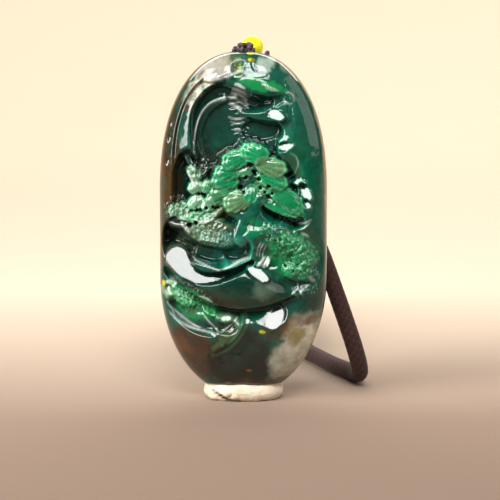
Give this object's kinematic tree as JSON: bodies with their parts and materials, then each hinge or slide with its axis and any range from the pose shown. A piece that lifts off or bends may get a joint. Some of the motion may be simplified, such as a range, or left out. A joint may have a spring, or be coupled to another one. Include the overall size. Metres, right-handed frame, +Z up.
{
  "type": "jade landscape pendant",
  "caption": "Oval carved green jade pendant with a mountain and pine scene, standing in a cream putty ring, with a yellow bead and a dark braided neck cord.",
  "frame": {"origin": "under the middle of the putty ring, on the surface that the part stands on", "axes": "+Z up along the pendant, the carved face looks along -Y, +X to the right of the face seen from the front"},
  "size_m": [0.0418, 0.0942, 0.0716],
  "materials": {
    "jade": "polished green jade with brown rind, grey-white and rust patches",
    "bead": "glossy yellow",
    "thread": "dark purple-brown twisted thread",
    "cord": "dark brown braid",
    "putty": "matte hand-rolled cream putty"
  },
  "bodies": {
    "root": {"jade_pendant": "jade", "yellow_bead": "bead", "bead_thread": "thread", "cord_collar": "thread", "neck_cord_front": "cord", "neck_cord_return": "cord", "cord_hank": "cord", "hank_tie": "thread", "putty_ring": "putty"}
  },
  "joints": []
}
